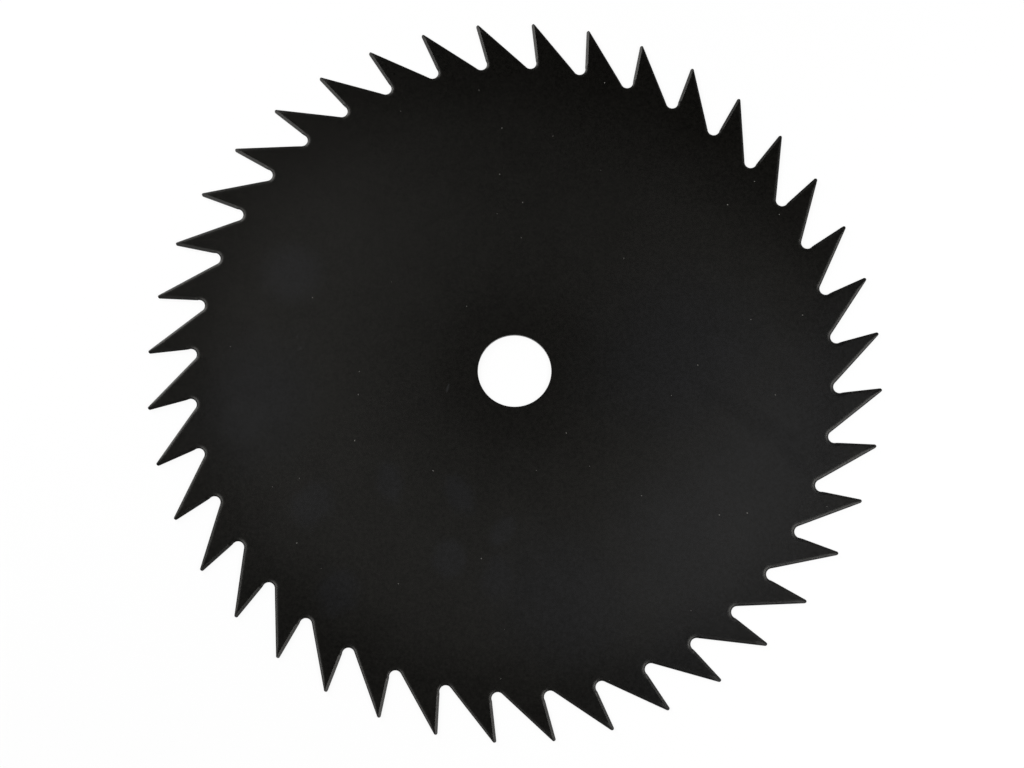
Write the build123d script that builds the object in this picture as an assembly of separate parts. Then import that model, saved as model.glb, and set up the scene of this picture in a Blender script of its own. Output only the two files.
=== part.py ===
from build123d import *
import os
from math import acos, cos, degrees, radians, sin, sqrt, tan

os.makedirs("parts", exist_ok=True)

# Flat steel blade for a brush cutter: a thin toothed disc with a plain round bore. It lies on
# z = 0 with the bore's axis on Z. Each tooth hooks forward: its front is the short, steep cutting
# face and its back is the long side. Seen from +Z the teeth point counter-clockwise.

# Driving dimensions, in millimetres and degrees
TOOTH_COUNT = 40
TIP_DIAMETER = 254.0
BORE_DIAMETER = 25.4
THICKNESS = 1.4

# Outline of a tooth
HOOK_ANGLE = 9.0  # cutting face, ahead of the radius at the tooth's point
WEDGE_ANGLE = 32.0  # between the cutting face and the back
TIP_ROUND = 0.65  # radius of the tooth's point
GULLET_ROUND = 2.1  # radius of the gullet's bottom
GULLET_UNDERCUT = 0.1  # how far the gullet's circle passes behind the line of the cutting face

# Bevels ground along the cutting face, one on each side of the plate
BEVEL_WIDTH = 0.95
BEVEL_LAND = 0.5  # flat edge left between the two bevels

# Edge broken by blanking and tumbling, along the backs and round the gullets, on both sides
EDGE_WIDTH = 1.2
EDGE_DEPTH = 0.44

# How far a cutting tool reaches past the metal it cuts
OVERRUN = 1.0


def polar(length, angle):
    """The vector of this length at this angle from +X."""
    return Vector(length * cos(radians(angle)), length * sin(radians(angle)))


# The tooth drawn here has its point on +X. The rounding of the point touches the tip circle, and
# that gives the radius at which the tooth's two sides would meet if the point were sharp.
pitch_angle = 360 / TOOTH_COUNT
back_angle = HOOK_ANGLE + WEDGE_ANGLE
bisector_angle = HOOK_ANGLE + WEDGE_ANGLE / 2
setback = TIP_ROUND / sin(radians(WEDGE_ANGLE / 2))
setback_across = setback * sin(radians(bisector_angle))
setback_along = setback * cos(radians(bisector_angle))
point_radius = setback_along + sqrt((TIP_DIAMETER / 2 - TIP_ROUND) ** 2 - setback_across**2)

point = polar(point_radius, 0)
round_run = TIP_ROUND / tan(radians(WEDGE_ANGLE / 2))
face_end = point - polar(round_run, HOOK_ANGLE)
back_start = point - polar(round_run, back_angle)

# The gullet lies between this tooth's back and the cutting face of the next tooth behind it. Its
# circle touches the line of the back and passes the line of that face by the undercut.
next_point = polar(point_radius, -pitch_angle)
next_face_angle = HOOK_ANGLE - pitch_angle
back_normal = polar(1, back_angle - 90)
face_normal = polar(1, next_face_angle + 90)
face_distance = GULLET_ROUND - GULLET_UNDERCUT
beside_back = point + back_normal * GULLET_ROUND
gap_at_point = face_normal.dot(beside_back - next_point) - face_distance
gullet_centre = beside_back - polar(gap_at_point / face_normal.dot(polar(1, back_angle)), back_angle)

back_end = gullet_centre - back_normal * GULLET_ROUND
corner_swing = degrees(acos(face_distance / GULLET_ROUND))
gullet_swing = 180 + next_face_angle - back_angle + corner_swing
next_face_start = gullet_centre + polar(GULLET_ROUND, back_angle + 90 + gullet_swing)
face_length = (next_point - next_face_start).length


def blank_outline():
    """The stamped outline, one pitch at a time: point, back, gullet and the next cutting face."""
    tip_centre = point - polar(setback, bisector_angle)
    tip = CenterArc(tip_centre, TIP_ROUND, HOOK_ANGLE + 90, WEDGE_ANGLE - 180)
    back = Line(back_start, back_end)
    gullet = CenterArc(gullet_centre, GULLET_ROUND, back_angle + 90, gullet_swing)
    next_face = Line(next_face_start, face_end.rotate(Axis.Z, -pitch_angle))
    pitch = (tip, back, gullet, next_face)
    return [turn * edge for turn in PolarLocations(0, TOOTH_COUNT) for edge in pitch]


def wedge(width, depth):
    """Section of a tool that breaks the plate's upper edge, with x into the metal from the edge."""
    slope = depth / width
    low = THICKNESS - depth - OVERRUN * slope
    high = THICKNESS + OVERRUN * slope
    return make_face(Polyline((-OVERRUN, low), (width + OVERRUN, high), (-OVERRUN, high), close=True))


def bevel_tool():
    """Grinds the upper bevel of the tooth on +X, from beyond its point to where its gullet starts."""
    start = point + polar(OVERRUN, HOOK_ANGLE)
    across = Plane(start, x_dir=polar(1, HOOK_ANGLE - 90), z_dir=-polar(1, HOOK_ANGLE))
    return extrude(across * wedge(BEVEL_WIDTH, (THICKNESS - BEVEL_LAND) / 2), face_length + OVERRUN)


def edge_tool():
    """Breaks the upper edge along the tooth's back and on round the gullet, to just past its corner."""
    path = Line(point, back_end)
    path += CenterArc(gullet_centre, GULLET_ROUND, back_angle + 90, gullet_swing + corner_swing)
    across = Plane(point, x_dir=-back_normal, z_dir=polar(1, back_angle))
    return sweep(across * wedge(EDGE_WIDTH, EDGE_DEPTH), path)


plate = extrude(make_face(blank_outline()) - Circle(BORE_DIAMETER / 2), THICKNESS)
upper_tools = [bevel_tool(), edge_tool()]
mid_plane = Plane.XY.offset(THICKNESS / 2)
lower_tools = [mirror(tool, about=mid_plane) for tool in upper_tools]
turns = PolarLocations(0, TOOTH_COUNT)
blade = plate - [turn * tool for turn in turns for tool in upper_tools + lower_tools]

root_diameter = 2 * (gullet_centre.length - GULLET_ROUND)
print(f"gullets bottom on a {root_diameter:.2f} mm circle, cutting faces {face_length:.2f} mm long")
print(f"blade volume {blade.volume:.1f} cubic mm, {len(blade.solids())} solid, {len(blade.faces())} faces")

export_step(blade, "parts/blade.step")
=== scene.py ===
# %% [markdown]
# A brush cutter blade
#
# The piece is one flat disc of spring steel, stamped with forty hooked teeth round its rim, ground
# along the front of each tooth, tumbled to take the burrs off and coated satin black. It carries a
# plain round hole for the machine's arbor. There is no moving part, so everything here rides on one
# body. The imported CAD model is loaded first and stays as the fixed frame: what Blender makes has to
# sit exactly where that solid is.

# %% Load the imported model and keep its parts where they stand
from math import acos, atan2, cos, degrees, pi, radians, sin, sqrt

import bmesh
import bpy
from mathutils import Matrix, Vector
from mathutils.geometry import area_tri, normal


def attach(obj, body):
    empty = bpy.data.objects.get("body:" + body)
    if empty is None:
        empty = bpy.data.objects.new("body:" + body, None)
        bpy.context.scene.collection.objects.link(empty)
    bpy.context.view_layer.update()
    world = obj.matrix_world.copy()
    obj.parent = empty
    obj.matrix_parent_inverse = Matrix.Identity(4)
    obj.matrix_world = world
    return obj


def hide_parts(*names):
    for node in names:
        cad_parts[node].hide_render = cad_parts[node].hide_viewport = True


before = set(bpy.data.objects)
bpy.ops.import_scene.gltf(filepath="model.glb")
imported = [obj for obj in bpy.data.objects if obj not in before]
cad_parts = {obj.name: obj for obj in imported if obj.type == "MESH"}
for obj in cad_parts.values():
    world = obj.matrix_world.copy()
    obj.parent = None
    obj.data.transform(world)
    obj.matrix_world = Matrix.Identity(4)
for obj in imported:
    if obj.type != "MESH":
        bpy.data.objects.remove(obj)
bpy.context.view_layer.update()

# %% [markdown]
# The drawing's sizes
#
# The sizes are those of the CAD part, in millimetres and degrees. Blender works in metres, so every
# point is scaled once, where it becomes a vertex. Heights are counted from the middle of the plate,
# because both sides of a real blade are finished alike and only one of them has to be drawn.

# %% Sizes of the blade
MM = 0.001
TOOTH_COUNT = 40
TIP_DIAMETER = 254.0
BORE_DIAMETER = 25.4
THICKNESS = 1.4

HOOK_ANGLE = 9.0  # cutting face, ahead of the radius at the tooth's point
WEDGE_ANGLE = 32.0  # between the cutting face and the back
TIP_ROUND = 0.65  # radius of the tooth's point
GULLET_ROUND = 2.1  # radius of the gullet's bottom
GULLET_UNDERCUT = 0.1  # how far the gullet's circle passes behind the line of the cutting face

BEVEL_WIDTH = 0.95
BEVEL_LAND = 0.5  # flat edge left between the upper and the lower bevel
RUN_OUT = 1.3  # the last stretch of the bevel, where it fades into the gullet's edge
EDGE_WIDTH = 1.2  # how far the rolled edge reaches in over the plate along a tooth's back
EDGE_DEPTH = 0.44  # and how far it drops
GULLET_EDGE_WIDTH = 1.4  # the same round a gullet, where the punch drags the metal further down
GULLET_EDGE_DEPTH = 0.58
EDGE_CHANGE = 3.0  # run before the gullet in which the one edge turns into the other
EDGE_CHANGE_ON = 0.75  # and how far the change goes on into the gullet
BORE_ROUND = 0.12  # the hole's edge is only just broken

HALF = THICKNESS / 2
HALF_LAND = BEVEL_LAND / 2
BEVEL_SLOPE = (HALF - HALF_LAND) / BEVEL_WIDTH
bevel_angle = degrees(atan2(HALF - HALF_LAND, BEVEL_WIDTH))
print(f"{TOOTH_COUNT} teeth on {TIP_DIAMETER} mm, bevel {bevel_angle:.1f} degrees")

# %% [markdown]
# The outline of one pitch
#
# One pitch of the rim is a tooth and the gullet behind it. Its lines are worked out as a toolmaker
# lays them out: the sharp point from the tip circle that its rounding touches, the cutting face
# leaning forward from the radius, the back falling away from it, and the gullet's circle between
# that back and the next tooth's face.

# %% Points that set out one tooth
def polar(length, angle):
    """The point at this distance and angle from the middle of the hole."""
    return Vector((length * cos(radians(angle)), length * sin(radians(angle))))


pitch_angle = 360 / TOOTH_COUNT
back_angle = HOOK_ANGLE + WEDGE_ANGLE
bisector_angle = HOOK_ANGLE + WEDGE_ANGLE / 2
setback = TIP_ROUND / sin(radians(WEDGE_ANGLE / 2))
setback_across = setback * sin(radians(bisector_angle))
setback_along = setback * cos(radians(bisector_angle))
point_radius = setback_along + sqrt((TIP_DIAMETER / 2 - TIP_ROUND) ** 2 - setback_across ** 2)

point = polar(point_radius, 0)
tip_centre = point - polar(setback, bisector_angle)

down_face = -polar(1, HOOK_ANGLE)  # from the point along the cutting face
into_face = polar(1, HOOK_ANGLE - 90)  # from the cutting face into the metal
down_back = -polar(1, back_angle)  # from the point along the back
into_back = polar(1, back_angle + 90)  # from the back into the metal
print(f"sharp point on a {2 * point_radius:.2f} mm circle, ends {setback - TIP_ROUND:.2f} mm short")

# %% The gullet between this tooth's back and the next tooth's cutting face
next_face_angle = HOOK_ANGLE - pitch_angle
next_point = polar(point_radius, -pitch_angle)
next_into_face = polar(1, next_face_angle - 90)
face_distance = GULLET_ROUND - GULLET_UNDERCUT
beside_back = point - into_back * GULLET_ROUND
gap_at_point = -next_into_face.dot(beside_back - next_point) - face_distance
back_length = gap_at_point / -next_into_face.dot(polar(1, back_angle))
gullet_centre = beside_back + down_back * back_length
corner_swing = degrees(acos(face_distance / GULLET_ROUND))
gullet_swing = 180 + next_face_angle - back_angle + corner_swing
next_face_start = gullet_centre + polar(GULLET_ROUND, back_angle + 90 + gullet_swing)
face_length = (next_point - next_face_start).length
print(f"back {back_length:.2f} mm, face {face_length:.2f} mm, gullet {gullet_swing:.1f} degrees")

# %% [markdown]
# Two kinds of edge
#
# The cutting face carries a flat ground bevel with crisp borders. The back and the gullet are not
# ground: the punch and the tumbling barrel leave them rolled over, steep at the wall and dying away
# smoothly into the flat. A quarter of an ellipse has that section, so its points are the rows that
# run along the back and round the gullet. Near the point the two meet in a short ridge, which runs
# out over the rounded point itself.

# %% Section of the rolled edge
EDGE_STEPS = 6
EDGE_MARGIN = 0.2  # one more flat row, so that the roll's shading has died away before the plate
ROWS = range(EDGE_STEPS + 2)


def edge_section(row, share):
    """Inset and height of a row, from the section along a back (share 0) to a gullet's (1)."""
    width = EDGE_WIDTH + share * (GULLET_EDGE_WIDTH - EDGE_WIDTH)
    depth = EDGE_DEPTH + share * (GULLET_EDGE_DEPTH - EDGE_DEPTH)
    if row > EDGE_STEPS:
        return width + EDGE_MARGIN, HALF
    turn = radians(90 * row / EDGE_STEPS)
    return width * (1 - cos(turn)), HALF - depth * (1 - sin(turn))


def eased(share):
    """A share from 0 to 1 that starts and ends gently."""
    share = min(1.0, max(0.0, share))
    return share * share * (3 - 2 * share)


def gullet_share(before_gullet):
    """How much of the gullet's section the edge has, this far before the gullet starts."""
    return eased((EDGE_CHANGE - before_gullet) / (EDGE_CHANGE + EDGE_CHANGE_ON))


print("back section:", [tuple(round(v, 2) for v in edge_section(row, 0)) for row in ROWS])

# %% Heights of the bevel and of the rolled edge
def bevel_height(place):
    """Height of the ground bevel's plane at a place."""
    return HALF_LAND + BEVEL_SLOPE * into_face.dot(place - point)


def edge_height(place):
    """Height of the rolled edge along the back at a place."""
    from_flat = 1 - into_back.dot(place - point) / EDGE_WIDTH
    return HALF - EDGE_DEPTH * (1 - sqrt(1 - from_flat ** 2))


def on_round(swing):
    """A place on the rounded point, this far round it from the back."""
    return tip_centre + polar(TIP_ROUND, back_angle - 90 + swing)


back_corner = on_round(0)
print(f"where the back ends: bevel {bevel_height(back_corner):.2f} mm high,", end=" ")
print(f"rolled edge {edge_height(back_corner):.2f} mm")

# %% Where the rolled edge and the bevel meet
SURE_SWING = 0.001  # the ridge is found to this part of a degree

# The ridge leaves the rounded point where both surfaces are equally high
ridge_swing, swing_step = 0.0, 90 - WEDGE_ANGLE / 2
while swing_step > SURE_SWING:
    place = on_round(ridge_swing + swing_step)
    if edge_height(place) < bevel_height(place):
        ridge_swing += swing_step
    swing_step /= 2


def row_swing(row):
    """How far round the point from the back a row would start, if nothing cut it short."""
    return degrees(acos(max(-1, 1 - edge_section(row, 0)[0] / TIP_ROUND)))


def row_start(row):
    """Where a row starts: on the rounded point, or further in where it meets the bevel."""
    if row_swing(row) < ridge_swing:
        return on_round(row_swing(row))
    inset, height = edge_section(row, 0)
    from_face = (height - HALF_LAND) / BEVEL_SLOPE
    wedge = radians(WEDGE_ANGLE)
    run = (inset + from_face * cos(wedge)) / sin(wedge)
    return point + down_face * run + into_face * from_face


def corner_reach(inset):
    """How far into the next tooth a row of the gullet has come where that tooth's bevel starts."""
    across = (GULLET_ROUND + inset) ** 2 - GULLET_ROUND ** 2
    return sqrt(face_distance ** 2 + across) - face_distance


rows_on_round = [row for row in ROWS if row_swing(row) < ridge_swing]
ridge_run = down_face.dot(row_start(ROWS[-1]) - point)
print(f"the ridge starts {ridge_swing:.1f} degrees round the point, past rows {rows_on_round}")
print(f"and ends {ridge_run:.2f} mm down the face")

# %% [markdown]
# One pitch as a mesh
#
# Only the upper half of one pitch is drawn, as a skin from the middle of the plate up over
# the edge and across to the hole. Working in strips keeps every face where a grinding wheel or a
# punch would leave one, and gives the later steps something to hold on to: each face knows its
# finish, and each vertex how far it is up the rolled edge or along the bevel.

# %% Vertices and faces that know what they are part of
FLAT, GROUND, ROLLED = 0, 1, 2

pitch = bmesh.new()
finish_of = pitch.faces.layers.int.new("finish")
edge_of = pitch.verts.layers.float.new("edge")
wander_of = pitch.verts.layers.float.new("wander")
grind_of = pitch.verts.layers.float_vector.new("grind")


def vertex(place, height, edge=0.0, wander=0.0, grind=None):
    """A vertex of the pitch, from a place and a height in millimetres."""
    made = pitch.verts.new((place.x * MM, place.y * MM, height * MM))
    made[edge_of] = edge
    made[wander_of] = wander
    if grind:
        made[grind_of] = Vector((grind[0] * MM, grind[1] * MM, 0))
    return made


def face_vertex(run, inset, height, **known):
    """A vertex on the ground side, this far down the cutting face and this far in from it."""
    return vertex(point + down_face * run + into_face * inset, height, grind=(run, inset), **known)


def edge_level(row):
    """How far up the rolled edge a row is: 1 at the rim, 0 where the flat begins."""
    return max(0.0, 1 - row / EDGE_STEPS)


def skin(corners, finish):
    """A face of the pitch with its finish, where a corner given twice counts once."""
    face = pitch.faces.new(dict.fromkeys(corners))
    face[finish_of] = finish
    face.smooth = finish == ROLLED
    return face


def strip(first, second, finish):
    """Faces between two rows of vertices."""
    for a, b, c, d in zip(first, first[1:], second[1:], second):
        skin((a, b, c, d), finish)


def tell(what):
    """Prints how far the pitch has come."""
    print(f"with {what}: {len(pitch.verts)} vertices, {len(pitch.faces)} faces")


tell("nothing drawn yet")

# %% [markdown]
# The rolled edge
#
# Each step of the edge's section becomes a row of vertices that runs from the ridge down the back,
# round the gullet and up to the next tooth. Towards the gullet the stations lie closer, because the
# section changes there.

# %% Draw the rolled edge
# Shares of the run from the ridge to the gullet
BACK_STATIONS = (0.15, 0.3, 0.45, 0.6, 0.74, 0.86, 0.93, 1.0)
GULLET_STEPS = 16

rolled = []
for row in ROWS:
    first_run = down_back.dot(row_start(row) - point)
    made = [vertex(row_start(row), edge_section(row, 0)[1], edge=edge_level(row))]
    for share in BACK_STATIONS:
        along = first_run + (back_length - first_run) * share
        inset, height = edge_section(row, gullet_share(back_length - along))
        place = point + down_back * along + into_back * inset
        made.append(vertex(place, height, edge=edge_level(row)))
    reach = corner_reach(edge_section(row, 1)[0])
    spoke = next_face_start + next_into_face * reach - gullet_centre
    whole_swing = (degrees(atan2(spoke.y, spoke.x)) - back_angle - 90) % 360
    for step in range(1, GULLET_STEPS + 1):
        swing = whole_swing * step / GULLET_STEPS
        inset, height = edge_section(row, gullet_share(-radians(swing) * GULLET_ROUND))
        place = gullet_centre + polar(GULLET_ROUND + inset, back_angle + 90 + swing)
        made.append(vertex(place, height, edge=edge_level(row)))
    rolled.append(made)
for upper, lower in zip(rolled[1:], rolled):
    strip(upper, lower, ROLLED)
tell("the rolled edge")

# %% [markdown]
# The ground bevel
#
# The wheel comes in over the point and is lifted out just before the gullet, so the bevel is one
# plane with crisp borders that fades into the gullet's rolled edge over its last millimetre or so.
# The rows of the gullet are carried on there and straighten out into the plane.

# %% Draw the bevel's end, where it fades into the gullet's edge
RUN_OUT_STEPS = 5

run_out = []
for row in ROWS:
    gullet_inset, gullet_height = edge_section(row, 1)
    ground_inset = BEVEL_WIDTH * min(row, EDGE_STEPS) / EDGE_STEPS
    ground_height = HALF_LAND + BEVEL_SLOPE * ground_inset
    made = []
    for step in range(RUN_OUT_STEPS + 1):
        share = eased(step / RUN_OUT_STEPS)
        run = face_length - RUN_OUT * step / RUN_OUT_STEPS
        inset = corner_reach(gullet_inset) * (1 - share) + ground_inset * share
        height = gullet_height * (1 - share) + ground_height * share
        if row == ROWS[-1] and step == RUN_OUT_STEPS:
            made.append(run_out[EDGE_STEPS][-1])
        else:
            made.append(face_vertex(run, inset, height, edge=edge_level(row) * (1 - share)))
    run_out.append(made)
for upper, lower in zip(run_out[1:], run_out):
    strip(upper, lower, ROLLED)
tell("the bevel's end")

# %% Draw the bevel from there to the ridge
BEVEL_STEPS = 10

bevel_start = face_length - RUN_OUT
bevel_run = ridge_run - bevel_start
face_runs = [bevel_start + bevel_run * step / BEVEL_STEPS for step in range(1, BEVEL_STEPS + 1)]
cutting_edge = [run_out[0][-1]] + [face_vertex(run, 0, HALF_LAND) for run in face_runs]
bevel_top = [run_out[EDGE_STEPS][-1]]
bevel_top += [face_vertex(run, BEVEL_WIDTH, HALF, wander=1.0) for run in face_runs[:-1]]
bevel_top.append(rolled[-1][0])
bevel_end = [made[-1] for made in run_out[:EDGE_STEPS]]
skin((bevel_top[0], bevel_top[1], cutting_edge[1], *bevel_end), GROUND)
strip(bevel_top[1:], cutting_edge[1:], GROUND)
tell("the bevel")

# %% Draw the point, where the bevel's plane runs out over the rounding as far as the ridge
TIP_STEPS = 8
POINT_LEVEL = 0.5  # counts as halfway up the rolled edge, so that few knocks bare the point

face_swing = 180 - WEDGE_ANGLE
tip_edge = []
for step in range(TIP_STEPS + 1):
    place = on_round(face_swing + (ridge_swing - face_swing) * step / TIP_STEPS)
    tip_edge.append(vertex(place, bevel_height(place), edge=POINT_LEVEL))
past_ridge = [rolled[row][0] for row in ROWS if row not in rows_on_round]
skin([*reversed(past_ridge), *reversed(tip_edge), cutting_edge[-1]], GROUND)
skin((past_ridge[0], rolled[rows_on_round[-1]][0], tip_edge[-1]), ROLLED)
for made in tip_edge + past_ridge:
    place = made.co.to_2d() / MM - point
    made[grind_of] = Vector((down_face.dot(place) * MM, into_face.dot(place) * MM, 0))
tell("the point")

# %% [markdown]
# The wall, the hole and the flat
#
# Below the rim a plain wall goes down to the middle of the plate. The hole is a round wall with a
# narrow broken edge, and one large face is the flat between hole and rim. It needs no vertices of
# its own, because nothing bends there.

# %% Draw the wall below the rim
rim_on_round = [rolled[row][0] for row in reversed(rows_on_round)]
rim_top = run_out[0] + cutting_edge[1:] + tip_edge + rim_on_round + rolled[0][1:]
rim_foot = [pitch.verts.new((top.co.x, top.co.y, 0)) for top in rim_top]
for foot in rim_foot:
    foot[edge_of] = 1.0
strip(rim_top, rim_foot, ROLLED)
tell("the rim's wall")

# %% Choose the seam between one pitch's flat and the next
SEAM_RUN = 3.0  # its first stretch, in millimetres


def turned(place, angle):
    """The same place, turned round the hole by this many degrees."""
    made = place.copy()
    made.rotate(Matrix.Rotation(radians(angle), 2))
    return made


# The seam leaves the gullet's corner squarely, so that it can't cut across the rolled edge, and
# only then turns in towards the hole
corner = run_out[-1][0].co.to_2d() / MM
seam = corner + (corner - turned(gullet_centre, pitch_angle)).normalized() * SEAM_RUN
next_seam = turned(seam, -pitch_angle)
start_spoke = degrees(atan2(seam.y, seam.x))
print(f"the seam turns in {seam.length:.1f} mm from the middle, at {start_spoke:.1f} degrees")

# %% Draw the hole and the flat
BORE_STEPS = 6
BORE_TURNS = (0, 30, 60, 90)  # degrees round the hole's broken edge

bore_radius = BORE_DIAMETER / 2
spokes = [start_spoke - pitch_angle * step / BORE_STEPS for step in range(BORE_STEPS + 1)]
bore_rows = [[vertex(polar(bore_radius, spoke), 0, edge=1.0) for spoke in spokes]]
for turn in BORE_TURNS:
    radius = bore_radius + BORE_ROUND * (1 - cos(radians(turn)))
    height = HALF - BORE_ROUND * (1 - sin(radians(turn)))
    bore_rows.append([vertex(polar(radius, spoke), height, edge=1 - turn / 90) for spoke in spokes])
for lower, upper in zip(bore_rows, bore_rows[1:]):
    strip(lower, upper, ROLLED)
rim_side = [*reversed(rolled[-1]), *reversed(bevel_top[:-1]), *reversed(run_out[-1][:-1])]
skin([*bore_rows[-1], vertex(next_seam, HALF), *rim_side, vertex(seam, HALF)], FLAT)
tell("the hole and the flat")

pitch_mesh = bpy.data.meshes.new("one_pitch")
pitch.to_mesh(pitch_mesh)
pitch.free()

# %% [markdown]
# Turning the pitch round the hole
#
# Forty equal teeth are what Geometry Nodes are for: a row of bare points, one for each tooth,
# carries a copy of the pitch turned by its own share of the circle. A loop in the script would work
# too, but here the number of teeth stays one input of the tree.

# %% Small helpers for building node trees
def node(tree, kind, settings=None, **inputs):
    """Adds a node, applies its settings, and feeds its inputs, given by name with _ for a space."""
    made = tree.nodes.new(kind)
    for name, value in (settings or {}).items():
        setattr(made, name, value)
    for name, value in inputs.items():
        wanted = name.replace("_", " ").lower()
        feed(tree, next(s for s in made.inputs if s.enabled and s.name.lower() == wanted), value)
    return made


def feed(tree, socket, value):
    """Joins a socket to another one, or sets it to a value."""
    if isinstance(value, bpy.types.NodeSocket):
        tree.links.new(value, socket)
    else:
        socket.default_value = value


def reckon(tree, operation, *values, clamp=False):
    """A Math node with one to three values or sockets, and its result."""
    made = node(tree, "ShaderNodeMath", {"operation": operation, "use_clamp": clamp})
    for socket, value in zip(made.inputs, values):
        feed(tree, socket, value)
    return made.outputs[0]


def about_zero(tree, noise, spread):
    """A noise from 0 to 1, moved to lie about 0 and made this wide."""
    return reckon(tree, "MULTIPLY", reckon(tree, "SUBTRACT", noise, 0.5), spread)


def smooth_step(tree, value, start, end):
    """0 before the start, 1 past the end, and a soft border between them."""
    return node(
        tree, "ShaderNodeMapRange", {"interpolation_type": "SMOOTHSTEP"},
        Value=value, From_Min=start, From_Max=end, To_Min=0.0, To_Max=1.0,
    ).outputs[0]


def tree_named(name, kind, ins, outs):
    """A new tree with these inputs and outputs, and the sockets that its inputs give."""
    tree = bpy.data.node_groups.new(name, kind)
    for direction, kinds in (("INPUT", ins), ("OUTPUT", outs)):
        for socket, holds in kinds.items():
            tree.interface.new_socket(
                name=socket.replace("_", " "), in_out=direction, socket_type="NodeSocket" + holds
            )
    print(f"{name}: {', '.join(ins)} -> {', '.join(outs)}")
    return tree, tree.nodes.new("NodeGroupInput").outputs


print("helpers ready: node, feed, reckon, about_zero, smooth_step and tree_named")

# %% A copy of the pitch for every tooth
rim_tree, given = tree_named(
    "Turn the teeth round the hole", "GeometryNodeTree",
    dict(
        Pitch="Geometry", Teeth="Int", Thickness="Float",
        Bevel_Wander="Float", Wander_Length="Float", Seed="Int",
        Flat_Coating="Material", Bevel_Coating="Material", Edge_Coating="Material",
    ),
    dict(Blade="Geometry"),
)
places = node(rim_tree, "GeometryNodePoints", Count=given["Teeth"]).outputs[0]
tooth_index = node(rim_tree, "GeometryNodeInputIndex").outputs[0]
tooth_step = reckon(rim_tree, "DIVIDE", 2 * pi, given["Teeth"])
tooth_turn = reckon(rim_tree, "MULTIPLY", tooth_index, tooth_step)
about_hole = node(rim_tree, "ShaderNodeCombineXYZ", Z=tooth_turn).outputs[0]
as_rotation = node(rim_tree, "FunctionNodeEulerToRotation", Euler=about_hole).outputs[0]
copies = node(
    rim_tree, "GeometryNodeInstanceOnPoints",
    Points=places, Instance=given["Pitch"], Rotation=as_rotation,
).outputs[0]
numbered = node(
    rim_tree, "GeometryNodeStoreNamedAttribute", {"data_type": "FLOAT", "domain": "INSTANCE"},
    Geometry=copies, Name="tooth_turn", Value=tooth_turn,
).outputs[0]
# The copies become real vertices here, because the next steps move and weld those one by one
upper = node(rim_tree, "GeometryNodeRealizeInstances", Geometry=numbered).outputs[0]
print(f"so far the tree has {len(rim_tree.nodes)} nodes")

# %% [markdown]
# Hand-fed grinding
#
# The wheel that grinds the bevels is fed by hand, so the top of each bevel wanders by a few
# hundredths of a millimetre. The vertices along it carry the attribute wander. A noise with a fixed
# seed moves them along the way into their own tooth, so the wander is the same on every run.

# %% Let the top of each bevel wander
def attribute(tree, kind, name):
    """What a named attribute holds, in a Geometry Nodes tree."""
    return node(tree, "GeometryNodeInputNamedAttribute", {"data_type": kind}, Name=name).outputs[0]


way_in = node(
    rim_tree, "ShaderNodeVectorRotate", {"rotation_type": "Z_AXIS"},
    Vector=(*into_face, 0), Angle=attribute(rim_tree, "FLOAT", "tooth_turn"),
).outputs[0]
wave = node(
    rim_tree, "ShaderNodeTexNoise", {"noise_dimensions": "4D"},
    W=given["Seed"], Scale=reckon(rim_tree, "DIVIDE", 1.0, given["Wander Length"]), Detail=1.0,
).outputs[0]
swing = about_zero(rim_tree, wave, given["Bevel Wander"])
swing = reckon(rim_tree, "MULTIPLY", swing, attribute(rim_tree, "FLOAT", "wander"))
offset = node(
    rim_tree, "ShaderNodeVectorMath", {"operation": "SCALE"}, Vector=way_in, Scale=swing
).outputs[0]
upper = node(rim_tree, "GeometryNodeSetPosition", Geometry=upper, Offset=offset).outputs[0]
print(f"so far the tree has {len(rim_tree.nodes)} nodes")

# %% Add the underside
WELD = 0.002  # millimetres within which two vertices count as one

# The underside is the same skin turned over; the two are welded along the middle of the wall
lower = node(rim_tree, "GeometryNodeTransform", Geometry=upper, Scale=(1, 1, -1)).outputs[0]
lower = node(rim_tree, "GeometryNodeFlipFaces", Mesh=lower).outputs[0]
both = node(rim_tree, "GeometryNodeJoinGeometry")
rim_tree.links.new(lower, both.inputs[0])
rim_tree.links.new(upper, both.inputs[0])
welded = node(
    rim_tree, "GeometryNodeMergeByDistance", Geometry=both.outputs[0], Distance=WELD * MM
).outputs[0]
half_thickness = reckon(rim_tree, "DIVIDE", given["Thickness"], 2.0)
raise_by = node(rim_tree, "ShaderNodeCombineXYZ", Z=half_thickness).outputs[0]
lying = node(rim_tree, "GeometryNodeTransform", Geometry=welded, Translation=raise_by).outputs[0]
print(f"so far the tree has {len(rim_tree.nodes)} nodes")

# %% Give each face the coating of its finish
finish = attribute(rim_tree, "INT", "finish")
coated = node(
    rim_tree, "GeometryNodeSetMaterial", Geometry=lying, Material=given["Flat Coating"]
).outputs[0]
for which, socket in ((GROUND, "Bevel Coating"), (ROLLED, "Edge Coating")):
    chosen = node(
        rim_tree, "FunctionNodeCompare", {"data_type": "INT", "operation": "EQUAL"},
        A=finish, B=which,
    ).outputs[0]
    coated = node(
        rim_tree, "GeometryNodeSetMaterial",
        Geometry=coated, Selection=chosen, Material=given[socket],
    ).outputs[0]
rim_tree.links.new(coated, node(rim_tree, "NodeGroupOutput").inputs[0])
print(f"the finished tree has {len(rim_tree.nodes)} nodes")

# %% [markdown]
# The coating
#
# The finish is a thin satin black, baked on over bare steel. It is nearly black, so what the eye
# reads is its gloss: a fine pebbled grain, zones that are more or less matt, soft hazy patches and
# finger marks, a few specks of dust, and bare steel only where an edge has been knocked. These
# effects are shader groups that give out nothing but masks, so the flats, the bevels and the rolled
# edges share them and differ only in their values.

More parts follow.
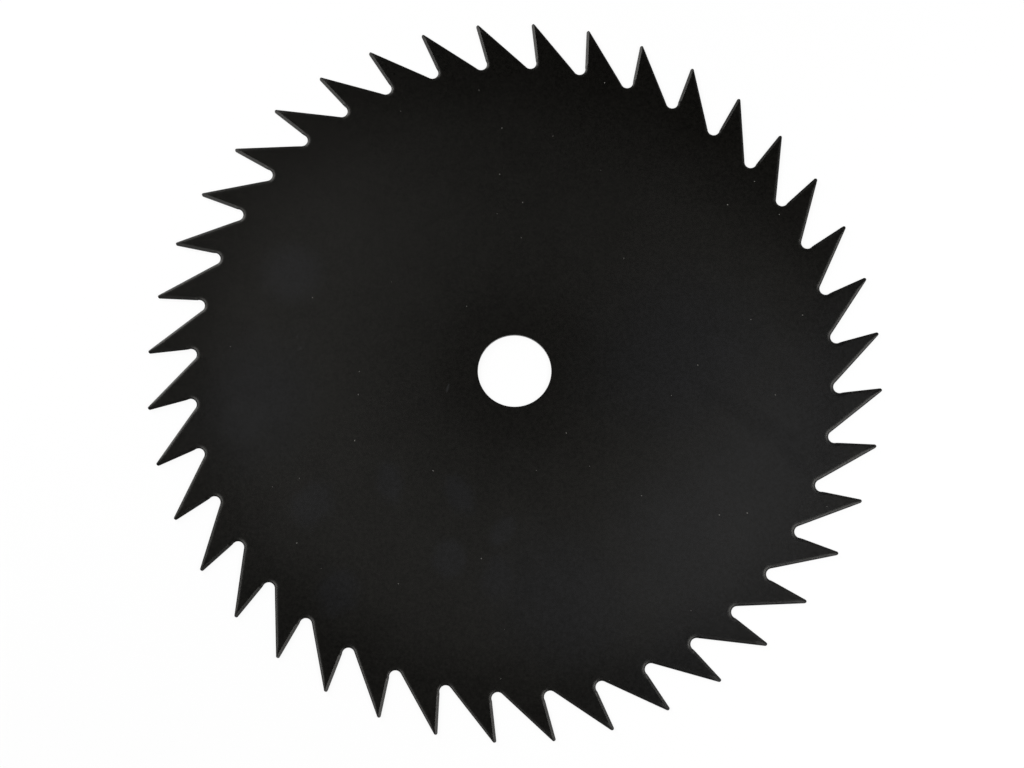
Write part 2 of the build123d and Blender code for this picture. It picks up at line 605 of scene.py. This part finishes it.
# %% Shader group: the grain of the coating
def end_group(tree, **values):
    """Ends a group with its outputs, by name with _ for a space."""
    ending = tree.nodes.new("NodeGroupOutput")
    for name, value in values.items():
        tree.links.new(value, ending.inputs[name.replace("_", " ")])
    print(f"it has {len(tree.nodes)} nodes")


def pebbles(tree, place, size, **settings):
    """A noise in the object's own space, whose lumps are about this far across."""
    scale = reckon(tree, "DIVIDE", 1.0, size)
    return node(tree, "ShaderNodeTexNoise", Vector=place, Scale=scale, **settings).outputs[0]


GRAIN_OCTAVES = {"Detail": 3.0, "Roughness": 0.55}  # coarse lumps with weaker fine ones on them
grain_group, given = tree_named(
    "Coating grain", "ShaderNodeTree",
    dict(Place="Vector", Grain_Size="Float", Cloud_Size="Float"),
    dict(Grain="Float", Cloud="Float"),
)
fine = pebbles(grain_group, given["Place"], given["Grain Size"], **GRAIN_OCTAVES)
broad = pebbles(grain_group, given["Place"], given["Cloud Size"], **GRAIN_OCTAVES)
end_group(grain_group, Grain=fine, Cloud=broad)

# %% [markdown]
# A soft patch
#
# A haze and a finger mark are the same thing in two sizes: an oval in which the surface is a little
# rougher, strongest in the middle, with a border that fades and isn't quite even. The group
# measures the distance from the oval's centre in its own reach, so 1 is the border at any size.

# %% Shader group: one soft patch, such as a haze or a finger mark
RIPPLE_COUNT = 1.7  # ripples of the border within one reach


def reckon_vectors(tree, operation, first, second):
    """A Vector Math node on two sockets, and its result."""
    made = node(tree, "ShaderNodeVectorMath", {"operation": operation})
    tree.links.new(first, made.inputs[0])
    tree.links.new(second, made.inputs[1])
    return made.outputs[0]


patch_group, given = tree_named(
    "Soft patch", "ShaderNodeTree",
    dict(
        Place="Vector", Centre="Vector", Reach="Vector", Turn="Float", Ragged="Float", Fade="Float"
    ),
    dict(Mask="Float"),
)
from_centre = reckon_vectors(patch_group, "SUBTRACT", given["Place"], given["Centre"])
along = node(
    patch_group, "ShaderNodeVectorRotate", {"rotation_type": "Z_AXIS"},
    Vector=from_centre, Angle=reckon(patch_group, "MULTIPLY", given["Turn"], -1.0),
).outputs[0]
measured = reckon_vectors(patch_group, "DIVIDE", along, given["Reach"])
distance = node(
    patch_group, "ShaderNodeVectorMath", {"operation": "LENGTH"}, Vector=measured
).outputs["Value"]
ripple = node(
    patch_group, "ShaderNodeTexNoise", Vector=measured, Scale=RIPPLE_COUNT, Detail=2.0
).outputs[0]
distance = reckon(patch_group, "ADD", distance, about_zero(patch_group, ripple, given["Ragged"]))
full_at = reckon(patch_group, "SUBTRACT", 1.0, given["Fade"])
end_group(patch_group, Mask=smooth_step(patch_group, distance, 1.0, full_at))

# %% [markdown]
# Settled dust
#
# A workshop's dust lies on the disc as a few pale crumbs. A Voronoi texture scatters one point in
# every cell, and its random colour serves as two dice: one decides whether the cell has a speck at
# all, the other how large it is. A fine noise crumbles the speck's outline.

# %% Shader group: specks of dust, scattered thinly
SMALLEST = 0.4  # the smallest speck, as a share of the given size
CRUMB_COUNT = 1.6  # crumbs across one speck
CRUMB_SPREAD = 3.0  # how far they push its border in and out

dust_group, given = tree_named(
    "Settled dust", "ShaderNodeTree",
    dict(Place="Vector", Spacing="Float", Speck_Size="Float", Share="Float"), dict(Mask="Float"),
)
cell_scale = reckon(dust_group, "DIVIDE", 1.0, given["Spacing"])
cells = node(
    dust_group, "ShaderNodeTexVoronoi", {"voronoi_dimensions": "2D"},
    Vector=given["Place"], Scale=cell_scale, Randomness=1.0,
).outputs
away = reckon(dust_group, "MULTIPLY", cells["Distance"], given["Spacing"])
dice = node(dust_group, "ShaderNodeSeparateColor", Color=cells["Color"]).outputs
size_share = reckon(dust_group, "MULTIPLY_ADD", dice[1], 1 - SMALLEST, SMALLEST)
speck_reach = reckon(dust_group, "MULTIPLY", given["Speck Size"], size_share)
crumbled = node(
    dust_group, "ShaderNodeTexNoise", Vector=given["Place"],
    Scale=reckon(dust_group, "DIVIDE", CRUMB_COUNT, given["Speck Size"]), Detail=1.0,
).outputs[0]
crumble = reckon(dust_group, "MULTIPLY_ADD", crumbled, CRUMB_SPREAD, 1 - CRUMB_SPREAD / 2)
speck_reach = reckon(dust_group, "MULTIPLY", speck_reach, crumble)
inside = reckon(dust_group, "LESS_THAN", away, speck_reach)
chosen = reckon(dust_group, "LESS_THAN", dice[0], given["Share"])
end_group(dust_group, Mask=reckon(dust_group, "MULTIPLY", inside, chosen))

# %% [markdown]
# Knocked edges
#
# Paint goes first where an edge stands proud. The level, 1 at the rim and 0 where the flat begins,
# is multiplied with a noise, and only where both are high does the steel show.

# %% Shader group: steel showing where an edge has been knocked
KNOCK_BORDER = 0.03  # how soft the coating's torn border is

wear_group, given = tree_named(
    "Knocked edge", "ShaderNodeTree",
    dict(Place="Vector", Level="Float", Knock_Size="Float", Share="Float"), dict(Mask="Float"),
)
knocks = pebbles(wear_group, given["Place"], given["Knock Size"], Detail=2.0)
torn_from = reckon(wear_group, "SUBTRACT", 1.0, given["Share"])
bare_from = reckon(wear_group, "ADD", torn_from, KNOCK_BORDER)
raised = reckon(wear_group, "MULTIPLY", knocks, given["Level"])
end_group(wear_group, Mask=smooth_step(wear_group, raised, torn_from, bare_from))

# %% [markdown]
# Where the coating is more or less matt
#
# Spraying, baking and handling leave the disc unevenly matt. Round the hole and out in the teeth
# the coating is tighter and reads darker; a broad ring between them is more open. On top of that
# lie wide hazes and dark places, a handful of finger marks, a smear, and the small marks of a piece
# of lint and a scuff. Each is one line of a table: where its centre is, how far it reaches along
# and across, how it is turned, how ragged its border is, how much of its reach fades out, and how
# much rougher it makes the surface, or smoother where the last number is below zero.

# %% Zones, hazes and finger marks
# Distance from the middle in millimetres, and the roughness there
ZONES = (
    (0, 0.33), (16, 0.342), (30, 0.384), (60, 0.427),
    (90, 0.408), (105, 0.349), (118, 0.303), (128, 0.30),
)
PATCHES = (
    ("lower_right_haze", (66, -56), (58, 44), 40, 0.3, 0.85, 0.034),
    ("right_rim_haze", (84, -42), (120, 50), 60, 0.3, 0.85, 0.032),
    ("lower_haze", (24, -78), (44, 34), 160, 0.3, 0.85, 0.012),
    ("right_cool_haze", (62, 6), (52, 46), 0, 0.3, 0.85, 0.002),
    ("upper_dark", (6, 104), (84, 56), 0, 0.3, 0.85, -0.026),
    ("upper_wide_dark", (8, 82), (124, 56), 0, 0.3, 0.85, -0.030),
    ("upper_right_dark", (72, 78), (44, 26), 135, 0.3, 0.85, -0.014),
    ("lower_left_dark", (-62, -90), (46, 34), 146, 0.3, 0.85, -0.026),
    ("left_haze", (-88, -14), (28, 34), 0, 0.4, 0.85, 0.012),
    ("round_spot", (-79, 31), (15, 14), 0, 0.12, 0.7, 0.042),
    ("faint_spot", (-92, -22), (10.5, 10), 0, 0.12, 0.45, 0.020),
    ("finger_one", (-19, -66), (7.5, 8.5), 0, 0.35, 0.5, 0.034),
    ("finger_two", (-1.5, -56), (8, 5), 55, 0.3, 0.6, 0.042),
    ("finger_three", (-2, -72), (8, 11), 0, 0.5, 0.6, 0.020),
    ("finger_four", (-17, -44), (10, 6), 120, 0.6, 0.6, 0.022),
    ("finger_five", (-41, -41), (10, 6), 100, 0.6, 0.6, 0.020),
    ("finger_six", (-67, -50), (9, 11), 150, 0.6, 0.6, 0.022),
    ("finger_seven", (-56, -79), (11, 9), 60, 0.6, 0.6, 0.018),
    ("right_smear", (84, -14), (30, 6), 150, 0.5, 0.7, -0.026),
    ("right_smear_short", (97, -27), (9, 4), 140, 0.4, 0.6, -0.026),
    ("lint", (-22.8, -7.2), (2.2, 0.5), 75, 0.3, 0.6, 0.16),
    ("scuff", (-74.6, 4.4), (1.4, 0.45), 30, 0.3, 0.6, 0.16),
    ("scuff_point", (-75.8, 8.8), (0.6, 0.6), 0, 0.3, 0.6, 0.14),
)
print(f"{len(ZONES)} zone stops, {len(PATCHES)} patches")

# %% Roughness of the zones and the patches
def zone_roughness(tree, level):
    """Roughness at a place, given with no height, by its distance from the middle of the hole."""
    outermost = ZONES[-1][0]
    length = node(tree, "ShaderNodeVectorMath", {"operation": "LENGTH"}, Vector=level)
    share = reckon(tree, "DIVIDE", length.outputs["Value"], outermost * MM)
    ramp = node(tree, "ShaderNodeValToRGB", Fac=share)
    ramp.color_ramp.interpolation = "CARDINAL"
    while len(ramp.color_ramp.elements) < len(ZONES):
        ramp.color_ramp.elements.new(0.5)
    for stop, (reach, roughness) in zip(ramp.color_ramp.elements, ZONES):
        stop.position = reach / outermost
        stop.color = (roughness, roughness, roughness, 1)
    return node(tree, "ShaderNodeSeparateColor", Color=ramp.outputs[0]).outputs[0]


def patched_roughness(tree, place):
    """The zones' roughness with every patch added, and how hazy the place is."""
    level = node(tree, "ShaderNodeVectorMath", {"operation": "MULTIPLY"}, Vector=place)
    level.inputs[1].default_value = (1, 1, 0)
    level = level.outputs[0]
    roughness, haze = zone_roughness(tree, level), None
    for name, centre, reach, turn, ragged, fade, rise in PATCHES:
        mask = node(
            tree, "ShaderNodeGroup", {"node_tree": patch_group, "label": name},
            Place=level, Centre=(centre[0] * MM, centre[1] * MM, 0),
            Reach=(reach[0] * MM, reach[1] * MM, MM), Turn=radians(turn), Ragged=ragged, Fade=fade,
        ).outputs[0]
        roughness = reckon(tree, "MULTIPLY_ADD", mask, rise, roughness)
        if rise > 0:
            haze = mask if haze is None else reckon(tree, "MAXIMUM", haze, mask)
    return roughness, haze


print("roughening patches:", [patch[0] for patch in PATCHES if patch[-1] > 0])

# %% [markdown]
# Colour, dust and bare steel
#
# The black itself is slightly warm, and slightly blue where it is hazy, as thin matt films are. Its
# grain shows as tone as well as in the gloss. Dust and bare steel are laid over it with masks.

# %% Colours and what lies on the coating
WARM_BLACK = (0.0040, 0.0037, 0.0031)
HAZY_BLACK = (0.0038, 0.0039, 0.0047)
DUST = (0.15, 0.145, 0.135)
STEEL = (0.42, 0.41, 0.40)
TONE_SPREAD = 1.9  # how much the grain lightens and darkens the black

DUST_SPACING = 9  # millimetres between the places where a speck may lie
DUST_SHARE = 0.085  # of those places have one
SPECK_SIZE = 0.2  # millimetres
DUST_ROUGHNESS = 0.8
KNOCK_SIZE = 2.2  # millimetres


def colour_mix(tree, factor, first, second):
    """A Mix node between two colours or sockets, and its result."""
    mix = node(tree, "ShaderNodeMix", {"data_type": "RGBA"})
    for which, value in ((0, factor), (6, first), (7, second)):
        feed(tree, mix.inputs[which], (*value, 1) if isinstance(value, tuple) else value)
    return mix.outputs[2]


def toned_black(tree, haze, grain):
    """The coating's own black, with the grain in its tone."""
    black = colour_mix(tree, haze, WARM_BLACK, HAZY_BLACK)
    tone = reckon(tree, "ADD", about_zero(tree, grain, TONE_SPREAD), 1.0)
    return node(
        tree, "ShaderNodeVectorMath", {"operation": "SCALE"}, Vector=black, Scale=tone
    ).outputs[0]


def dusted(tree, place, colour, roughness):
    """A colour and a roughness with pale matt specks of dust on them."""
    dust = node(
        tree, "ShaderNodeGroup", {"node_tree": dust_group},
        Place=place, Spacing=DUST_SPACING * MM, Speck_Size=SPECK_SIZE * MM, Share=DUST_SHARE,
    ).outputs[0]
    dust_roughness = reckon(tree, "MULTIPLY", dust, DUST_ROUGHNESS)
    return colour_mix(tree, dust, colour, DUST), reckon(tree, "MAXIMUM", roughness, dust_roughness)


def knocked_bare(tree, place, level, share):
    """The mask of bare steel, for an edge of which this share may be knocked."""
    return node(
        tree, "ShaderNodeGroup", {"node_tree": wear_group},
        Place=place, Level=level, Knock_Size=KNOCK_SIZE * MM, Share=share,
    ).outputs[0]


print("black", WARM_BLACK, "hazy", HAZY_BLACK, "dust", DUST, "steel", STEEL)

# %% [markdown]
# The three coatings
#
# One function makes all three, because it is one coat of paint. On the flat the roughness follows
# the zones, and over the rolled edge it turns into the rim's. On the ground bevels it is even, and
# the wheel's lines show through the thin coat as a bump that runs across the bevel. The grain's
# bump is about a hundredth of a millimetre deep.

# %% The coating's materials
SPECULAR_LEVEL = 0.385  # below the shader's usual 0.5, because the film reflects less than that
SPECULAR_TINT = (1.0, 0.985, 0.94, 1)
RIM_ROUGHNESS = 0.391
RIM_LEVEL = 0.6  # the edge level from which the rim's roughness holds
CLOUD_SIZE = 14  # millimetres
CLOUD_SPREAD = 0.05  # how far apart in roughness the clouds' extremes are
BEVEL_HAZE = 0.5  # how far the clouds turn the bevels' black hazy
LINE_WIDTH = 0.25  # millimetres between the wheel's lines
LINE_STRETCH = 0.08  # their width over their length


def coating(name, grain_size, grain_depth, grain_spread, marks=0.0, knocks=0.0):
    """A satin black coating over steel, with its grain's size and depth in millimetres.

    The marks are how strong the wheel's lines are beside the grain, and the knocks are how readily
    an edge shows bare steel.
    """
    material = bpy.data.materials.new(name)
    material.use_nodes = True
    tree = material.node_tree
    shader = tree.nodes["Principled BSDF"].inputs
    shader["Specular IOR Level"].default_value = SPECULAR_LEVEL
    shader["Specular Tint"].default_value = SPECULAR_TINT
    place = tree.nodes.new("ShaderNodeTexCoord").outputs["Object"]
    level = node(tree, "ShaderNodeAttribute", {"attribute_name": "edge"}).outputs["Fac"]
    grain = node(
        tree, "ShaderNodeGroup", {"node_tree": grain_group},
        Place=place, Grain_Size=grain_size * MM, Cloud_Size=CLOUD_SIZE * MM,
    ).outputs

    if marks:
        roughness, haze = RIM_ROUGHNESS, reckon(tree, "MULTIPLY", grain["Cloud"], BEVEL_HAZE)
    else:
        roughness, haze = patched_roughness(tree, place)
        roughness = node(
            tree, "ShaderNodeMapRange", {"interpolation_type": "LINEAR"},
            Value=level, From_Min=0.0, From_Max=RIM_LEVEL, To_Min=roughness, To_Max=RIM_ROUGHNESS,
        ).outputs[0]
    uneven = reckon(
        tree, "ADD",
        about_zero(tree, grain["Cloud"], CLOUD_SPREAD),
        about_zero(tree, grain["Grain"], grain_spread),
    )
    roughness = reckon(tree, "ADD", roughness, uneven)
    colour, roughness = dusted(tree, place, toned_black(tree, haze, grain["Grain"]), roughness)
    if knocks:
        bare = knocked_bare(tree, place, level, knocks)
        colour = colour_mix(tree, bare, colour, STEEL)
        tree.links.new(bare, shader["Metallic"])

    height = grain["Grain"]
    if marks:
        run = node(tree, "ShaderNodeAttribute", {"attribute_name": "grind"}).outputs["Vector"]
        stretched = node(tree, "ShaderNodeMapping", Vector=run, Scale=(1, LINE_STRETCH, 1))
        lines = node(
            tree, "ShaderNodeTexNoise",
            Vector=stretched.outputs[0], Scale=1 / (LINE_WIDTH * MM), Detail=2.0,
        )
        scored = reckon(tree, "MULTIPLY", lines.outputs[0], marks)
        height = reckon(tree, "ADD", height, scored)
    bump = node(tree, "ShaderNodeBump", Strength=1.0, Distance=grain_depth * MM, Height=height)

    tree.links.new(colour, shader["Base Color"])
    tree.links.new(roughness, shader["Roughness"])
    tree.links.new(bump.outputs[0], shader["Normal"])
    print(f"{name}: {len(tree.nodes)} nodes")
    return material


FLAT_GRAIN = {"grain_size": 1.0, "grain_depth": 0.0105, "grain_spread": 0.07}
GROUND_GRAIN = {"grain_size": 0.7, "grain_depth": 0.01, "grain_spread": 0.08}
flat_coating = coating("satin_black_flat", **FLAT_GRAIN)
bevel_coating = coating("satin_black_on_ground_steel", **GROUND_GRAIN, marks=0.6)
edge_coating = coating("satin_black_on_rolled_edge", **FLAT_GRAIN, knocks=0.26)

# %% [markdown]
# The finished blade
#
# The pitch gets the tree as a modifier, whose inputs are set before it is first evaluated. The
# result is then kept as a plain mesh and the modifier goes, because a plain mesh is what exports,
# rides and bakes without surprises. A quick count shows whether the skin is closed, and whether
# every triangle of the large flat faces looks the way its face does: where it doesn't, the face
# crosses itself, and that shows up as a black mark.

# %% Make the blade as a plain mesh
pitch_mesh.materials.append(flat_coating)
blade = bpy.data.objects.new("toothed_plate", pitch_mesh)
bpy.context.scene.collection.objects.link(blade)
turning = blade.modifiers.new("turn the teeth round the hole", "NODES")
turning.node_group = rim_tree
values = {
    "Teeth": TOOTH_COUNT, "Thickness": THICKNESS * MM,
    "Bevel Wander": 0.16 * MM, "Wander Length": 9 * MM, "Seed": 7,
    "Flat Coating": flat_coating, "Bevel Coating": bevel_coating, "Edge Coating": edge_coating,
}
for socket in rim_tree.interface.items_tree:
    if socket.name in values:
        turning[socket.identifier] = values[socket.name]
solved = blade.evaluated_get(bpy.context.evaluated_depsgraph_get())
blade_mesh = bpy.data.meshes.new_from_object(solved)
blade.modifiers.clear()
blade.data = blade_mesh
blade_mesh.name = "toothed_plate"
print(f"blade: {len(blade_mesh.vertices)} vertices, {len(blade_mesh.polygons)} faces")

# %% Check its skin
SLIVER = 0.001  # a triangle with less area than this, in square millimetres, has no sure direction

check = bmesh.new()
check.from_mesh(blade_mesh)
open_edges = sum(1 for edge in check.edges if len(edge.link_faces) != 2)
volume = check.calc_volume(signed=True) / MM ** 3
triangles = check.calc_loop_triangles()
turned_in = 0
for loops in triangles:
    corners = [loop.vert.co for loop in loops]
    if area_tri(*corners) > SLIVER * MM ** 2 and normal(*corners).dot(loops[0].face.normal) < 0:
        turned_in += 1
check.free()
print(f"{len(triangles)} triangles, {volume:.0f} cubic mm")
print(f"{open_edges} open edges, {turned_in} triangles against their face")

# %% Put it in the solid's place
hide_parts("blade")
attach(blade, "root")
print(f"{blade.name} stands for the solid blade and rides on body root")

# %% [markdown]
# The table
#
# The blade lies on a plain white table. A real table is lit until it is white, but that much light
# would wash out the black. So the paper glows only for the camera and for reflections, through
# Light Path, and gives the blade no more light than ordinary pale paper does. A weak diffuse part
# stays in what the camera sees, so that the blade's shadow shows. From below the table is clear,
# for views of the underside.

# %% Floor
FLOOR_REACH = 40.0  # metres, far enough for its border never to show
FLOOR_DROP = 0.02  # millimetres below the blade, so that the two don't flicker
PAPER = (0.8, 0.8, 0.8, 1)  # what bounced light meets
SHADE_PAPER = (0.1, 0.1, 0.1, 1)  # the diffuse part of what the camera sees
GLOW = 0.912  # and the glowing part, so that the two together come out white

floor_mesh = bpy.data.meshes.new("floor")
sides = ((-1, -1), (1, -1), (1, 1), (-1, 1))
floor_corners = [(x * FLOOR_REACH, y * FLOOR_REACH, 0) for x, y in sides]
floor_mesh.from_pydata(floor_corners, [], [(0, 1, 2, 3)])
floor = bpy.data.objects.new("floor", floor_mesh)
bpy.context.scene.collection.objects.link(floor)
floor.location.z = -FLOOR_DROP * MM
print(f"floor {2 * FLOOR_REACH:.0f} m across, {FLOOR_DROP} mm below the blade")

# %% The table's paper
paper = bpy.data.materials.new("white_table")
paper.use_nodes = True
tree = paper.node_tree
tree.nodes.clear()
path = tree.nodes.new("ShaderNodeLightPath").outputs
seen = reckon(tree, "ADD", path["Is Camera Ray"], path["Is Glossy Ray"])
seen = reckon(tree, "ADD", seen, path["Is Transmission Ray"], clamp=True)
lit = node(tree, "ShaderNodeBsdfDiffuse", Color=PAPER)
glow = node(tree, "ShaderNodeEmission", Color=(1, 1, 1, 1), Strength=GLOW)
shade = node(tree, "ShaderNodeBsdfDiffuse", Color=SHADE_PAPER)
shown = tree.nodes.new("ShaderNodeAddShader")
tree.links.new(glow.outputs[0], shown.inputs[0])
tree.links.new(shade.outputs[0], shown.inputs[1])


def shader_mix(factor, first, second):
    """A Mix Shader node between two shader nodes."""
    mix = node(tree, "ShaderNodeMixShader", Fac=factor)
    tree.links.new(first.outputs[0], mix.inputs[1])
    tree.links.new(second.outputs[0], mix.inputs[2])
    return mix


mixed = shader_mix(seen, lit, shown)
backfacing = tree.nodes.new("ShaderNodeNewGeometry").outputs["Backfacing"]
from_below = shader_mix(backfacing, mixed, tree.nodes.new("ShaderNodeBsdfTransparent"))
out = tree.nodes.new("ShaderNodeOutputMaterial")
tree.links.new(from_below.outputs[0], out.inputs["Surface"])
floor_mesh.materials.append(paper)
print(f"{paper.name}: {len(tree.nodes)} nodes, glow {GLOW}")

# %% [markdown]
# The room
#
# The camera sees plain white all round. The blade must not: a white dome overhead would turn satin
# black into grey, and the photograph's studio was dark above. So reflections find the white only
# near the horizon, as they would find a studio's walls, and the world lights nothing by itself.

# %% World
WALL_TOP, WALL_FULL = 0.12, 0.03  # heights, as sines, where the walls' white begins and is whole

world = bpy.data.worlds.new("studio")
bpy.context.scene.world = world
world.use_nodes = True
tree = world.node_tree
surround = tree.nodes["Background"].inputs
surround["Color"].default_value = (1, 1, 1, 1)
path = tree.nodes.new("ShaderNodeLightPath").outputs
direction = tree.nodes.new("ShaderNodeTexCoord").outputs["Generated"]
up = node(tree, "ShaderNodeSeparateXYZ", Vector=direction).outputs["Z"]
near_horizon = smooth_step(tree, up, WALL_TOP, WALL_FULL)
mirrored = reckon(tree, "ADD", path["Is Glossy Ray"], path["Is Transmission Ray"], clamp=True)
strength = reckon(tree, "MULTIPLY_ADD", mirrored, near_horizon, path["Is Camera Ray"])
tree.links.new(strength, surround["Strength"])
print(f"{world.name}: {len(tree.nodes)} nodes")

# %% [markdown]
# The lamps
#
# Three softboxes stand at the left, at the right and at the rear left, and a long low card closes
# the right side. Nothing hangs overhead, which is what keeps the flat of the blade black and lets
# the bevels and rolled edges catch the light. The table below gives how bright each lamp looks, its
# radiance, because that is what a glossy edge shows; its power follows from that and from its area.

# %% Lamps
def softbox(name, azimuth, elevation, distance, width, height, power):
    """A rectangular lamp aimed at the blade. Azimuth counts counter-clockwise from +X."""
    lamp = bpy.data.lights.new(name, "AREA")
    lamp.shape = "RECTANGLE"
    lamp.size, lamp.size_y = width, height
    lamp.energy = power
    made = bpy.data.objects.new(name, lamp)
    bpy.context.scene.collection.objects.link(made)
    a, e = radians(azimuth), radians(elevation)
    away = Vector((cos(a) * cos(e), sin(a) * cos(e), sin(e)))
    made.location = away * distance
    made.rotation_euler = away.to_track_quat("Z", "Y").to_euler()
    print(f"{name}: {power:.2f} W")


# Name, azimuth and elevation in degrees, distance, width and height in metres, and radiance
LAMPS = (
    ("left_softbox", 200.8, 50, 1.02, 0.62, 0.38, 3.55),
    ("right_softbox", 342.8, 48, 0.49, 0.48, 0.16, 4.13),
    ("rear_left_softbox", 143.8, 25, 0.68, 0.36, 0.58, 3.76),
    ("right_card", 13.8, 17, 0.41, 1.44, 0.16, 0.55),
)
LEVEL = 1.3  # of all of them together
for name, azimuth, elevation, distance, width, height, radiance in LAMPS:
    power = LEVEL * radiance * pi * width * height
    softbox(name, azimuth, elevation, distance, width, height, power)

# %% [markdown]
# The camera
#
# The photograph was taken from nearly above the blade, and the camera stands there too, less than
# twelve degrees from upright and turned a little. Its distance sets how much smaller the far teeth
# look than the near ones, and the lens then sets how much of the picture the blade fills.

# %% Camera
AZIMUTH, ELEVATION, ROLL = 2.38, 78.44, 0.25  # degrees
DISTANCE = 722.4  # millimetres
AIM = Vector((-0.685, -4.62, 0.7))  # the place that it looks at, also in millimetres
LENS, SENSOR = 73.5, 36

camera_data = bpy.data.cameras.new("camera")
camera = bpy.data.objects.new("camera", camera_data)
bpy.context.scene.collection.objects.link(camera)
camera_data.lens = LENS
camera_data.sensor_width = SENSOR
a, e = radians(AZIMUTH), radians(ELEVATION)
back = Vector((sin(a) * cos(e), -cos(a) * cos(e), sin(e)))
camera.location = (AIM + back * DISTANCE) * MM
aimed = back.to_track_quat("Z", "Y").to_matrix() @ Matrix.Rotation(radians(ROLL), 3, "Z")
camera.rotation_euler = aimed.to_euler()
bpy.context.scene.camera = camera
bpy.context.scene.view_settings.view_transform = "Standard"
print("camera at", [round(v, 3) for v in camera.location], "m")
